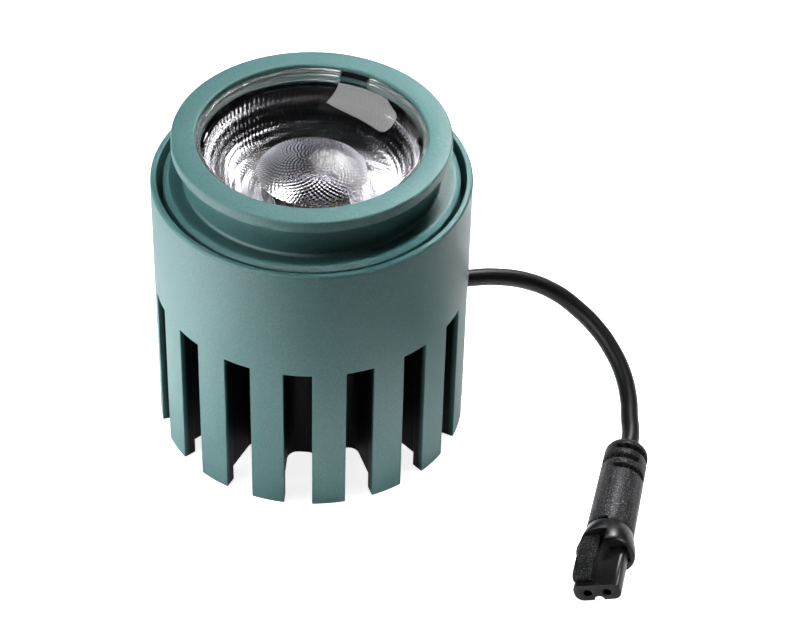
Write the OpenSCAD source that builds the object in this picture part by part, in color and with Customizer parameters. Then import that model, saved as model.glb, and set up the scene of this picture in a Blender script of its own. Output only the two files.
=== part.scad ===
// Round LED light module: a slotted heat sink sleeve, a channelled core, a lens barrel with its
// optic held by a split ring, and a short lead that ends in a two-pole plug.
// It stands on its cooling bars with the lens up. Millimetres, +Z up, origin under the axis.

/* [Heat sink sleeve] */
// Outside diameter of the sleeve
sleeve_d = 70; // [66:0.5:84]
// Height of the sleeve from the bar ends to its rim
sleeve_h = 66.4; // [62:0.2:80]
// Wall of the sleeve beside the lens barrel
rim_wall = 1.4; // [1:0.1:2.4]
// Chamfer on the outer edge of the rim
rim_chamfer = 0.4; // [0.2:0.1:0.8]
// Radial depth of the cooling bars
bar_depth = 3; // [2.6:0.1:4.5]
// Number of slots, and of the bars between them
slot_count = 16; // [12:2:18]
// Width of a slot
slot_w = 6.2; // [5:0.1:7.5]
// Height of a slot above the bar ends
slot_h = 38.6; // [30:0.2:41]

/* [Heat sink core] */
// Height of the core's seat above the slots
seat_rise = 5.4; // [4:0.2:8]
// Thickness of the flange that sits in the sleeve
flange_t = 3; // [2:0.2:5]
// Thickness of the deck below the flange
deck_t = 6; // [4:0.2:8]
// Diameter of the solid hub at the ends of the cooling channels
hub_d = 44; // [38:0.5:46]
// Set-back of the channels' walls from the sides of the slots
channel_side = 0.3; // [0:0.05:0.6]
// Radius in the inner corners of the channels
channel_corner = 2.4; // [0.5:0.1:2.4]
// Height of the core's underside above the bar ends
web_lift = 3.6; // [2:0.2:12]
// Radial clearance of the core in the sleeve
core_clear = 0.1; // [0.05:0.05:0.2]

/* [Lens barrel] */
// Width of the open ring between the sleeve and the barrel
ring_gap = 1.3; // [0.8:0.1:2]
// Height of the barrel's front above the sleeve's rim
barrel_rise = 10.7; // [8:0.1:16]
// Depth of the barrel's shoulder below the sleeve's rim
shoulder_drop = 0.3; // [0:0.1:1]
// Width of the shoulder outside the neck
shoulder_w = 4.7; // [4:0.1:6]
// Width of the shoulder's sloped edge
shoulder_slope_w = 1.2; // [0.6:0.1:1.6]
// Height of the shoulder's sloped edge
shoulder_slope_h = 0.5; // [0.3:0.1:1]
// Overhang of the bezel over the neck
bezel_overhang = 2.65; // [1.5:0.05:3.5]
// Thickness of the bezel
bezel_t = 2.6; // [2:0.1:4]
// Width of the bezel's front face
bezel_face_w = 5.25; // [4.8:0.05:7]
// Chamfer on the bezel's front edges
bezel_chamfer = 0.3; // [0.1:0.1:0.6]
// Chamfer at the foot of the neck
neck_foot = 0.5; // [0.2:0.1:0.8]
// Wall of the barrel's skirt
skirt_wall = 5; // [4.4:0.1:6]

/* [Lens] */
// Thickness of the lens rim
lens_rim_t = 1.25; // [1:0.05:2]
// Radial clearance of the lens in the barrel
lens_clear = 0.1; // [0.05:0.05:0.3]
// Width of the ledge that carries the lens
ledge_w = 1.4; // [1:0.1:2]
// Width of the flat land round the bowl
lens_land = 0.9; // [0.7:0.1:1.4]
// Width of the bowl's curved wall, seen from the front
bowl_run = 6.2; // [4:0.1:7.5]
// Depth of the bowl
bowl_depth = 6.5; // [5:0.1:8]
// Width of the ring-shaped floor of the bowl
bowl_floor_w = 5.75; // [4:0.05:7]
// Height of the dome in the middle of the bowl
dome_h = 3.7; // [2:0.1:5]
// Diameter of the lens at its base
lens_base_d = 17; // [15:0.2:19]
// Diameter of the cavity over the emitter
cavity_d = 12; // [11:0.2:13]
// Height of the cavity over the emitter
cavity_h = 6.4; // [4:0.2:8]

/* [Retaining ring] */
// Height of the split ring
clip_h = 2.5; // [2:0.1:3]
// Depth of the split ring below the bezel's face
clip_inset = 1.1; // [0.8:0.1:1.6]
// Height of the bead that snaps into the barrel's groove
clip_bead_h = 1.3; // [0.8:0.1:1.5]
// Depth of the groove in the barrel
clip_groove = 0.6; // [0.4:0.05:0.9]
// Width of the opening in the split ring
clip_gap = 6.8; // [4:0.1:12]
// Direction of the opening, from the cable's slot
clip_turn = 50; // [0:1:359]

/* [Light source] */
// Side of the square emitter package
cob_side = 13.5; // [12:0.1:14.5]
// Thickness of the emitter package
cob_t = 1; // [0.8:0.1:1.6]
// Diameter of the phosphor
phosphor_d = 9; // [6:0.1:9.6]
// Thickness of the phosphor
phosphor_t = 0.6; // [0.4:0.05:0.8]
// Thickness of the heat pad
pad_t = 0.25; // [0.15:0.05:0.5]
// Diameter of the emitter's holder
holder_d = 36; // [34:0.5:40]
// Height of the emitter's holder
holder_h = 2.6; // [2.4:0.1:3.4]
// Diameter of the holder's window at the emitter
window_d = 11.2; // [10:0.1:11.6]
// Distance of the holder's screws from its edge
holder_screw_edge = 4; // [3.6:0.1:4.5]

/* [Screws] */
// Diameter of the holder's screws
holder_screw_d = 3; // [2.5:0.1:3]
// Length of the holder's screws under the head
holder_screw_l = 8; // [6:0.5:9]
// Diameter of the barrel's screws
barrel_screw_d = 2.5; // [2:0.1:2.5]
// Length of the barrel's screws under the head
barrel_screw_l = 16; // [14:0.5:18]
// Number of the barrel's screws
barrel_screws_n = 4; // [2:1:4]

/* [Cable] */
// Diameter of the cable
cable_d = 4; // [3:0.1:4.4]
// Diameter of a lead wire
wire_d = 1.3; // [1:0.1:1.4]
// Wall of the cable's grommet
grommet_wall = 0.9; // [0.7:0.1:1.1]
// Clearance between the grommet's flange and its neighbours
grommet_clear = 0.3; // [0.1:0.05:0.4]

/* [Plug] */
// Length of the plug's moulded body
plug_body_l = 27; // [24:0.5:32]
// Diameter of the body at the cable
plug_rear_d = 9.8; // [8.5:0.1:10.2]
// Diameter of the body at the collar
plug_front_d = 10.6; // [9.6:0.1:10.8]
// Width of the strain relief's grooves
groove_w = 1.5; // [1:0.1:1.8]
// Distance between the strain relief's grooves
groove_pitch = 3.2; // [2.6:0.1:4]
// Width of the plug's collar
collar_w = 13; // [12.6:0.1:14]
// Height of the plug's collar
collar_h = 10.8; // [10.7:0.1:11.6]
// Length of the plug's collar
collar_l = 6.2; // [5:0.1:8]
// Width of the plug's nose
nose_w = 10.3; // [9.6:0.1:10.6]
// Height of the plug's nose
nose_h = 4.3; // [4:0.1:4.5]
// Length of the plug's nose in front of the collar
nose_l = 11.2; // [9:0.2:14]
// Distance between the two contacts
contact_pitch = 4.3; // [3.8:0.1:4.6]
// Diameter of the holes for the mating pins
pin_hole_d = 1.9; // [1.4:0.1:2.1]
// Turn of the resting plug about its own axis
plug_roll = 18.5; // [0:0.5:25]

/* [Hidden] */

$fn = 96;
// Small air gap between parts that are assembled by hand
fit = 0.05;
// Overlap of a cutting tool past the face it cuts
cut = 1;
// Steps of a long curve and of a small rounded corner that are drawn with straight lines
curve_steps = 10;
corner_steps = 5;
// Sides of the plug's flared collar and of a screw's hexagon socket
collar_sides = 32;
hex_sides = 6;

// Colours of the parts
teal = [0.27, 0.42, 0.42];
black = [0.06, 0.06, 0.06];
steel = [0.55, 0.56, 0.58];
brass = [0.8, 0.65, 0.35];

// Radii and heights that the parts share
sleeve_r = sleeve_d / 2;
rim_r = sleeve_r - rim_wall;
bar_r = sleeve_r - bar_depth;
slot_pitch = 360 / slot_count;
seat_z = slot_h + seat_rise;
deck_z = seat_z - deck_t;
core_top = seat_z + flange_t;
barrel_r = rim_r - ring_gap;
shoulder_z = sleeve_h - shoulder_drop;
front_z = sleeve_h + barrel_rise;
neck_r = barrel_r - shoulder_w;
bezel_r = neck_r + bezel_overhang;
bore_r = bezel_r - bezel_face_w;
ledge_r = bore_r - ledge_w;
skirt_r = barrel_r - skirt_wall;
clip_top = front_z - clip_inset;
clip_base = clip_top - clip_h;
lens_top = clip_base - fit;
lens_seat = lens_top - lens_rim_t;
holder_top = core_top + holder_h;
// Air between the holder and the lens above it
lens_air = 0.2;
lens_base = holder_top + lens_air;
lens_r = bore_r - lens_clear;
bowl_r = lens_r - lens_land;
bowl_floor_r = bowl_r - bowl_run;
dome_r = bowl_floor_r - bowl_floor_w;
bowl_floor_z = lens_top - bowl_depth;
cob_base = core_top + pad_t;
cob_top = cob_base + cob_t;

// Screw heads, as shares of the thread diameter, and the clearance round a thread
head_ratio = 1.75;
head_h_ratio = 0.6;
thread_clear = 0.1;
drive_ratio = 0.9;
drive_depth_ratio = 0.35;
barrel_screw_r = barrel_r - skirt_wall / 2;

// Screws and spring contacts of the holder
holder_pitch = holder_d - 2 * holder_screw_edge;
contact_y = 4.6;
contact_w = 1.6;
contact_t = 0.8;
contact_in = 5.2;
contact_edge = 4.9;
contact_out = holder_d / 2 - contact_edge;
wire_z = cob_top + contact_t / 2 + fit;

// Grommet: it stands midway between the holder and the barrel's skirt
grommet_r = (skirt_r + holder_d / 2) / 2;
grommet_bore_r = cable_d / 2 + fit;
grommet_bush_r = grommet_bore_r + grommet_wall;
grommet_flange_r = (skirt_r - holder_d / 2) / 2 - grommet_clear;
grommet_flange_h = 1.2;

// Inner end of the channel that the cable bends through, clear of the cable
cable_room = 0.6;
cable_channel_r = min(hub_d / 2, grommet_r - cable_d / 2 - cable_room);

// Route of the cable: straight down through the grommet, round a bend and out through its slot
cable_exit = [33.5, 0, 27.3];
cable_outside = [[38, 0, 26.8], [45, -0.2, 25.5], [51.9, -1.6, 23.6], [57.7, -4.6, 21.2], [62, -8.8, 18.3],
    [64.9, -13.4, 15.7], [66.6, -18.1, 13.3], [67.4, -24.2, 10.4], [66.6, -30.2, 8], [64.8, -35.6, 6.6],
    [63.4, -39.7, 5.9], [60.6, -44.4, 5.75]];
cable_stub = 0.8;
cable_drop = 0.4;
cable_top = core_top + grommet_flange_h + cable_stub;
bend_top = deck_z - cable_drop;
bend_steps = 4;
cable_bend = [for (i = [0:bend_steps]) let (a = 90 * i / bend_steps)
    [cable_exit.x + (grommet_r - cable_exit.x) * cos(a), 0, bend_top + (cable_exit.z - bend_top) * sin(a)]];
cable_route = concat([[grommet_r, 0, cable_top], [grommet_r, 0, (cable_top + bend_top) / 2]],
    cable_bend, cable_outside);
cable_sides = 10;
wire_sides = 8;

// Place of the plug: it lies on the surface, in line with the cable's end
cable_end = cable_route[len(cable_route) - 1];
cable_end_run = cable_end - cable_route[len(cable_route) - 2];
plug_turn = atan2(cable_end_run.y, cable_end_run.x);
plug_pos = [cable_end.x, cable_end.y, collar_h / 2 + (collar_w - collar_h) / 2 * sin(plug_roll)];
groove_start = 2.4;
groove_floor_r = 3.4;
stem_l = 3;
stem_r = 3.3;
contact_wall = 0.35;
pin_hole_l = 1.6;
contact_l = 7;
nose_end = plug_body_l + collar_l + nose_l;
pocket_clear = 2 * fit;

// Latch tongue on the plug's nose: it lies on one side, over the flat top
latch_w = 4.2;
latch_y = -2.75;
latch_gap = 0.25;
latch_t = 0.95;
latch_pad_l = 6;
latch_pad_h = 0.9;
latch_setback = 1.2;
// Side of the collar's window over the latch, and the groove behind that half of the collar
window_edge = 1.2;
window_groove_w = 0.9;

// Points of a circular arc
function arc(c, r, a0, a1, n) =
    [for (i = [0:n]) let (a = a0 + (a1 - a0) * i / n) c + r * [cos(a), sin(a)]];

// Unit vector
function unit(v) = v / norm(v);

// Direction of a route at one of its points; the last one lies level
function heading(p, i) = let (run = p[min(i + 1, len(p) - 1)] - p[max(i - 1, 0)])
    unit(i == len(p) - 1 ? [run.x, run.y, 0] : run);

// Ring of points round one point of a route
function route_ring(p, i, r, n) =
    let (t = heading(p, i), u = unit(cross(t, [0, 1, 0])), v = cross(t, u))
    [for (k = [0:n - 1]) p[i] + r * (cos(360 * k / n) * u + sin(360 * k / n) * v)];

// Closed tube along a route
module tube(p, d, n) {
    last = len(p) - 1;
    points = [for (i = [0:last]) each route_ring(p, i, d / 2, n)];
    sides = [for (i = [0:last - 1], k = [0:n - 1])
        let (a = i * n + k, b = i * n + (k + 1) % n) each [[a, b, b + n], [a, b + n, a + n]]];
    start = [for (k = [n - 1:-1:0]) k];
    end = [for (k = [0:n - 1]) last * n + k];
    polyhedron(points, concat([start], sides, [end]), convexity = 6);
}

// Screw that points up, with its head's underside at the origin
module screw(d, l) {
    difference() {
        union() {
            cylinder(d = d, h = l);
            translate([0, 0, -d * head_h_ratio]) cylinder(d = d * head_ratio, h = d * head_h_ratio);
        }
        translate([0, 0, -d * head_h_ratio - cut])
            cylinder(d = d * drive_ratio, h = cut + d * drive_depth_ratio, $fn = hex_sides);
    }
}

// Copies at the barrel's screws, which stand in line with slots
module at_barrel_screws() {
    for (k = [0:barrel_screws_n - 1])
        rotate(slot_pitch * floor((k + 0.5) * slot_count / barrel_screws_n))
            translate([barrel_screw_r, 0, 0]) children();
}

// Copies at the holder's two screws
module at_holder_screws() {
    for (side = [-1, 1]) translate([0, side * holder_pitch / 2, 0]) children();
}

// Moves what is drawn along +X from the cable's end to the plug's place
module at_plug() {
    translate(plug_pos) rotate(plug_turn) rotate([plug_roll, 0, 0]) children();
}

// Lays a shape drawn up +Z along +X
module along_x() {
    rotate([0, 90, 0]) children();
}

module heat_sink_sleeve() {
    color(teal) difference() {
        rotate_extrude() polygon([[bar_r, 0], [sleeve_r, 0], [sleeve_r, sleeve_h - rim_chamfer],
            [sleeve_r - rim_chamfer, sleeve_h], [rim_r, sleeve_h], [rim_r, seat_z], [bar_r, seat_z]]);
        for (k = [0:slot_count - 1]) rotate(k * slot_pitch)
            translate([0, -slot_w / 2, -cut]) cube([sleeve_d, slot_w, slot_h + cut]);
    }
}

// Cutter for one cooling channel behind a slot, with its inner end at a radius
module core_channel(inner_r) {
    side = slot_w / 2 + channel_side;
    corner = inner_r + channel_corner;
    translate([0, 0, web_lift - cut]) linear_extrude(deck_z - web_lift + cut)
        polygon(concat([[sleeve_r, -side]],
            arc([corner, channel_corner - side], channel_corner, 270, 180, corner_steps),
            arc([corner, side - channel_corner], channel_corner, 180, 90, corner_steps),
            [[sleeve_r, side]]));
}

module heat_sink_core() {
    flange_r = rim_r - core_clear;
    deck_r = bar_r - core_clear;
    color(black) difference() {
        union() {
            translate([0, 0, seat_z]) cylinder(r = flange_r, h = flange_t);
            difference() {
                translate([0, 0, web_lift]) cylinder(r = deck_r, h = core_top - web_lift);
                for (k = [0:slot_count - 1]) rotate(k * slot_pitch)
                    core_channel(k == 0 ? cable_channel_r : hub_d / 2);
            }
        }
        translate([grommet_r, 0, deck_z - cut])
            cylinder(r = grommet_bush_r + fit, h = core_top - deck_z + 2 * cut);
        at_barrel_screws() translate([0, 0, deck_z - cut])
            cylinder(d = barrel_screw_d + 2 * thread_clear, h = core_top - deck_z + 2 * cut);
        at_holder_screws() translate([0, 0, holder_top - holder_screw_l - cut])
            cylinder(d = holder_screw_d + thread_clear, h = holder_screw_l + cut);
    }
}

module lens_barrel() {
    slope_r = barrel_r - shoulder_slope_w;
    groove_r = bore_r + clip_groove;
    groove_base = clip_top - clip_bead_h - fit;
    cone_h = skirt_r - ledge_r;
    color(teal) difference() {
        rotate_extrude() polygon([[skirt_r, core_top], [barrel_r, core_top],
            [barrel_r, shoulder_z - shoulder_slope_h], [slope_r, shoulder_z],
            [neck_r + neck_foot, shoulder_z], [neck_r, shoulder_z + neck_foot],
            [neck_r, front_z - bezel_t], [bezel_r, front_z - bezel_t],
            [bezel_r, front_z - bezel_chamfer], [bezel_r - bezel_chamfer, front_z],
            [bore_r + bezel_chamfer, front_z], [bore_r, front_z - bezel_chamfer],
            [bore_r, clip_top + fit], [groove_r, clip_top + fit], [groove_r, groove_base],
            [bore_r, groove_base], [bore_r, lens_seat], [ledge_r, lens_seat],
            [ledge_r, shoulder_z - shoulder_slope_h], [skirt_r, shoulder_z - shoulder_slope_h - cone_h]]);
        at_barrel_screws() translate([0, 0, core_top - cut])
            cylinder(d = barrel_screw_d + thread_clear,
                h = cut + barrel_screw_l - (core_top - deck_z) + thread_clear);
    }
}

module tir_lens() {
    wall_power = 1.9;
    flank_power = 2.2;
    lens_foot_r = lens_base_d / 2;
    flank_top_r = ledge_r - lens_clear;
    cavity_r = cavity_d / 2;
    dome_ball_r = (pow(dome_r, 2) + pow(dome_h, 2)) / (2 * dome_h);
    dome_half_angle = asin(dome_r / dome_ball_r);
    dome_centre = [0, bowl_floor_z + dome_h - dome_ball_r];
    dome = arc(dome_centre, dome_ball_r, 90, 90 - dome_half_angle, curve_steps);
    bowl = [for (i = [0:curve_steps]) let (t = i / curve_steps)
        [bowl_floor_r + bowl_run * t, bowl_floor_z + bowl_depth * pow(t, wall_power)]];
    flank = [for (i = [curve_steps:-1:0]) let (t = i / curve_steps)
        [lens_foot_r + (flank_top_r - lens_foot_r) * (1 - pow(1 - t, flank_power)),
         lens_base + (lens_seat - lens_base) * t]];
    color([0.85, 0.88, 0.92, 0.5]) rotate_extrude() polygon(concat(dome, bowl,
        [[lens_r, lens_top], [lens_r, lens_seat]], flank,
        [[cavity_r, lens_base], [cavity_r, lens_base + cavity_h], [0, lens_base + cavity_h]]));
}

module lens_retaining_ring() {
    inner_r = bore_r - lens_clear - lens_land;
    outer_r = bore_r - fit;
    bead_r = bore_r + clip_groove - fit;
    bead_base = clip_top - clip_bead_h;
    gap_angle = 360 * clip_gap / (2 * PI * bore_r);
    color([0.75, 0.78, 0.8]) rotate(clip_turn + gap_angle / 2) rotate_extrude(angle = 360 - gap_angle)
        polygon([[inner_r, clip_base], [outer_r, clip_base], [outer_r, bead_base], [bead_r, bead_base],
            [bead_r, clip_top], [inner_r, clip_top]]);
}

module cob_substrate() {
    color([0.9, 0.9, 0.88]) translate([-cob_side / 2, -cob_side / 2, cob_base])
        cube([cob_side, cob_side, cob_t]);
}

module cob_phosphor() {
    color([0.95, 0.8, 0.25]) translate([0, 0, cob_top]) cylinder(d = phosphor_d, h = phosphor_t);
}

module thermal_pad() {
    color([0.6, 0.62, 0.65]) translate([-cob_side / 2, -cob_side / 2, core_top])
        cube([cob_side, cob_side, pad_t]);
}

module cob_holder() {
    pocket = cob_side + 2 * thread_clear;
    pocket_h = cob_top + fit - core_top;
    lead_in = lens_base_d / 2 - window_d / 2;
    color(black) difference() {
        translate([0, 0, core_top]) cylinder(d = holder_d, h = holder_h);
        translate([-pocket / 2, -pocket / 2, core_top - cut]) cube([pocket, pocket, pocket_h + cut]);
        translate([0, 0, core_top + pocket_h])
            cylinder(d1 = window_d, d2 = window_d + 2 * lead_in, h = holder_h - pocket_h);
        translate([0, 0, core_top]) cylinder(d = window_d, h = holder_h + cut);
        translate([0, 0, holder_top]) cylinder(d = window_d + 2 * lead_in, h = cut);
        at_holder_screws() translate([0, 0, core_top - cut])
            cylinder(d = holder_screw_d + 2 * thread_clear, h = holder_h + 2 * cut);
        for (side = [-1, 1]) {
            translate([contact_in - fit, side * contact_y - contact_w / 2 - fit, cob_top])
                cube([contact_out - contact_in + 2 * fit, contact_w + 2 * fit, holder_h]);
            translate([contact_out, side * contact_y, wire_z])
                along_x() cylinder(d = wire_d + 2 * thread_clear, h = holder_d);
        }
    }
}

module holder_contacts() {
    for (side = [-1, 1]) color(brass)
        translate([contact_in, side * contact_y - contact_w / 2, cob_top + fit])
            cube([contact_out - contact_in, contact_w, contact_t]);
}

module holder_screws() {
    color(steel) at_holder_screws() translate([0, 0, holder_top]) mirror([0, 0, 1])
        screw(holder_screw_d, holder_screw_l);
}

module barrel_screws() {
    color(steel) at_barrel_screws() translate([0, 0, deck_z]) screw(barrel_screw_d, barrel_screw_l);
}

module cable_grommet() {
    color(black) translate([grommet_r, 0, 0]) difference() {
        union() {
            translate([0, 0, deck_z]) cylinder(r = grommet_bush_r, h = core_top - deck_z);
            translate([0, 0, core_top]) cylinder(r = grommet_flange_r, h = grommet_flange_h);
        }
        translate([0, 0, deck_z - cut])
            cylinder(r = grommet_bore_r, h = core_top + grommet_flange_h - deck_z + 2 * cut);
    }
}

// One insulated lead from the cable's end to the holder's contact
module lead_wire(side) {
    top = cable_route[0];
    wire_y = side * contact_y;
    start_y = side * (wire_d / 2 + fit);
    rise = 1.2;
    crest = 1.9;
    dip = 0.4;
    tube([[top.x, start_y, top.z], [top.x, start_y, top.z + rise],
        [top.x - rise, (2 * start_y + wire_y) / 3, top.z + crest],
        [holder_d / 2 + 2 * rise, (start_y + 2 * wire_y) / 3, top.z + rise],
        [holder_d / 2 + rise, wire_y, wire_z + dip], [holder_d / 2, wire_y, wire_z],
        [contact_out, wire_y, wire_z]], wire_d, wire_sides);
}

module lead_wire_red() {
    color([0.7, 0.08, 0.08]) lead_wire(1);
}

module lead_wire_black() {
    color(black) lead_wire(-1);
}

module cable() {
    color(black) tube(cable_route, cable_d, cable_sides);
}

// Groove round part of the plug's body, centred on a direction that is counted from below
module body_groove(x, w, centre, span) {
    translate([x, 0, 0]) along_x() rotate(centre - span / 2) rotate_extrude(angle = span)
        translate([groove_floor_r, 0]) square([plug_front_d, w]);
}

module plug_body() {
    rear_r = plug_rear_d / 2;
    edge = 1.8;
    right = 95;
    left = 215;
    half_turn = 190;
    window_side = 235;
    window_span = 130;
    color(black) at_plug() difference() {
        along_x() rotate_extrude() polygon(concat([[0, 0]],
            arc([rear_r - edge, edge], edge, -90, 0, corner_steps),
            [[plug_front_d / 2, plug_body_l], [0, plug_body_l]]));
        body_groove(groove_start, groove_w, right, half_turn);
        body_groove(groove_start + groove_pitch, groove_w, left, half_turn);
        body_groove(groove_start + 2 * groove_pitch, groove_w, right, half_turn);
        body_groove(plug_body_l - window_groove_w, window_groove_w + cut, window_side, window_span);
    }
}

// Outline of the collar: two half circles with straight sides, as a thin plate along +X
module collar_plate(x, t) {
    for (side = [-1, 1])
        translate([x, side * (collar_w - collar_h) / 2, 0])
            along_x() cylinder(d = collar_h, h = t, $fn = collar_sides);
}

module plug_collar() {
    flare_share = 0.8;
    flare_l = collar_l * flare_share;
    plate_t = 0.2;
    pocket_x = plug_body_l + stem_l;
    pocket_w = nose_w + 2 * pocket_clear;
    pocket_h = nose_h + 2 * pocket_clear;
    color(black) at_plug() difference() {
        union() {
            hull() {
                translate([plug_body_l, 0, 0])
                    along_x() cylinder(d = plug_front_d, h = plate_t, $fn = collar_sides);
                collar_plate(plug_body_l + flare_l, plate_t);
            }
            hull() collar_plate(plug_body_l + flare_l, collar_l - flare_l);
        }
        translate([plug_body_l - cut, 0, 0]) along_x() cylinder(r = stem_r + fit, h = stem_l + 2 * cut);
        translate([pocket_x, -pocket_w / 2, -pocket_h / 2]) cube([collar_l, pocket_w, pocket_h]);
        translate([pocket_x, -collar_w / 2, nose_h / 2])
            cube([collar_l, collar_w / 2 + window_edge, collar_h]);
    }
}

// Section of the nose: flat top, two rounded lobes below with a notch between them
module nose_section() {
    top_r = 1.2;
    lobe_r = 1.9;
    notch_r = 1.1;
    w = nose_w / 2;
    h = nose_h / 2;
    polygon(concat(arc([w - top_r, h - top_r], top_r, 0, 90, corner_steps),
        arc([top_r - w, h - top_r], top_r, 90, 180, corner_steps),
        arc([lobe_r - w, lobe_r - h], lobe_r, 180, 270, corner_steps),
        arc([0, -h], notch_r, 180, 0, curve_steps),
        arc([w - lobe_r, lobe_r - h], lobe_r, 270, 360, corner_steps)));
}

module plug_contact_carrier() {
    root_x = plug_body_l + stem_l;
    root_l = 1.6;
    latch_end = nose_end - latch_setback;
    latch_base = nose_h / 2 + latch_gap;
    color(black) at_plug() difference() {
        union() {
            translate([plug_body_l, 0, 0]) along_x() cylinder(r = stem_r, h = stem_l);
            translate([root_x, 0, 0]) rotate([90, 0, 90])
                linear_extrude(nose_end - root_x) nose_section();
            translate([root_x, latch_y - latch_w / 2, 0])
                cube([root_l, latch_w, latch_base + latch_t]);
            translate([root_x, latch_y + latch_w / 2, latch_base]) rotate([90, 0, 0])
                linear_extrude(latch_w) polygon([[0, 0], [latch_end - root_x, 0],
                    [latch_end - root_x, latch_t + latch_pad_h / 2],
                    [latch_end - root_x - latch_pad_h, latch_t + latch_pad_h],
                    [latch_end - root_x - latch_pad_l, latch_t + latch_pad_h],
                    [latch_end - root_x - latch_pad_l - latch_pad_h, latch_t], [0, latch_t]]);
        }
        for (side = [-1, 1])
            translate([nose_end + cut, side * contact_pitch / 2, 0]) rotate([0, -90, 0]) {
                cylinder(d = pin_hole_d, h = pin_hole_l + 2 * cut);
                translate([0, 0, pin_hole_l + cut])
                    cylinder(r = pin_hole_d / 2 + contact_wall + fit, h = contact_l + fit);
            }
    }
}

module plug_contacts() {
    color(brass) at_plug() for (side = [-1, 1])
        translate([nose_end - pin_hole_l - contact_l, side * contact_pitch / 2, 0])
            along_x() difference() {
                cylinder(r = pin_hole_d / 2 + contact_wall, h = contact_l);
                translate([0, 0, cut]) cylinder(d = pin_hole_d, h = contact_l);
            }
}

heat_sink_sleeve();
heat_sink_core();
lens_barrel();
tir_lens();
lens_retaining_ring();
cob_substrate();
cob_phosphor();
cob_holder();
holder_contacts();
holder_screws();
thermal_pad();
barrel_screws();
cable_grommet();
lead_wire_red();
lead_wire_black();
cable();
plug_body();
plug_collar();
plug_contact_carrier();
plug_contacts();
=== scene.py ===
"""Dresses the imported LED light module: studio, lead and plug, housing, optic and light source."""

import logging
import math
from collections.abc import Callable
from dataclasses import KW_ONLY, dataclass, field
from enum import Enum

import bmesh
import bpy
from mathutils import Matrix, Vector


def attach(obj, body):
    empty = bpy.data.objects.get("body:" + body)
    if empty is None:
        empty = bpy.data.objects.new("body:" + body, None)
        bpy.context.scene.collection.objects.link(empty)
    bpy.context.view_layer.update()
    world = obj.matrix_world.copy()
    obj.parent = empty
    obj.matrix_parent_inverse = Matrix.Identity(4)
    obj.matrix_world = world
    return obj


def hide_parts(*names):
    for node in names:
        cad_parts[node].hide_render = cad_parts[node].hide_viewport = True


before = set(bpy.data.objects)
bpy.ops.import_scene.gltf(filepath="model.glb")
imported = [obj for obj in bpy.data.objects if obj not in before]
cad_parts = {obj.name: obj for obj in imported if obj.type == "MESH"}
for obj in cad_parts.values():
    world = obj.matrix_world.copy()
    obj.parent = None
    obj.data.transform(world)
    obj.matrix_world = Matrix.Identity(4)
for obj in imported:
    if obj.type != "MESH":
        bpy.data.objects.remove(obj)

log = logging.getLogger("led_module")

MM = 0.001
ROOT = "root"
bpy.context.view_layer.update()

# Degrees from which the edge between two faces counts as sharp, and up to which two faces count as one.
SHARP_ANGLE = 30.0
FLAT_ANGLE = 1.0
# Millimetres within which points of a CAD node's loose triangles are the same point.
MERGE_GAP = 0.002
BEVEL_STEPS = 2
# Most of a profile's side that the rounding of one corner may take.
CORNER_SHARE = 0.45
# Turn from one dot of an even spiral to the next, and the room of a dot in a hexagonal grid of pitch 1.
GOLDEN_ANGLE = math.pi * (3 - math.sqrt(5))
HEX_ROOM = math.sqrt(3) / 2

Tree, Node, Socket, Piece = bpy.types.NodeTree, bpy.types.Node, bpy.types.NodeSocket, bpy.types.Object
Point = tuple[float, float, float]
Span = tuple[float, float]
Profile = list[tuple[float, float]]
Faces = list[tuple[int, ...]]
Inputs = dict[str | int, object]


def linear(hex_colour: str) -> tuple[float, float, float, float]:
    """Turns an sRGB hex colour into the linear colour that shaders take.

    Args:
        hex_colour: Colour as "#rrggbb".

    Returns:
        Linear red, green, blue and an alpha of 1.
    """
    channels = [int(hex_colour[i:i + 2], 16) / 255 for i in (1, 3, 5)]
    red, green, blue = (c / 12.92 if c <= 0.04045 else ((c + 0.055) / 1.055) ** 2.4 for c in channels)
    return red, green, blue, 1.0


def per_mm(size: float) -> float:
    """Texture scale, in cycles per metre, of a pattern that repeats after size millimetres."""
    return 1 / (size * MM)


def wire(tree: Tree, node: Node, inputs: Inputs) -> None:
    """Sets or links a node's inputs.

    Args:
        tree: Tree that holds the node.
        node: Node whose inputs are set.
        inputs: Input name or index, with a value or the socket that feeds it.
    """
    for key, value in inputs.items():
        if isinstance(value, Socket):
            tree.links.new(value, node.inputs[key])
        else:
            node.inputs[key].default_value = value


def add_node(tree: Tree, kind: str, inputs: Inputs | None = None, **settings: object) -> Node:
    """Adds a node with its settings and links.

    Args:
        tree: Tree that takes the node.
        kind: Blender's name of the node type.
        inputs: Input name or index, with a value or the socket that feeds it.
        **settings: The node's own settings.

    Returns:
        The new node.
    """
    node = tree.nodes.new(kind)
    for name, value in settings.items():
        setattr(node, name, value)
    wire(tree, node, inputs or {})
    return node


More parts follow.
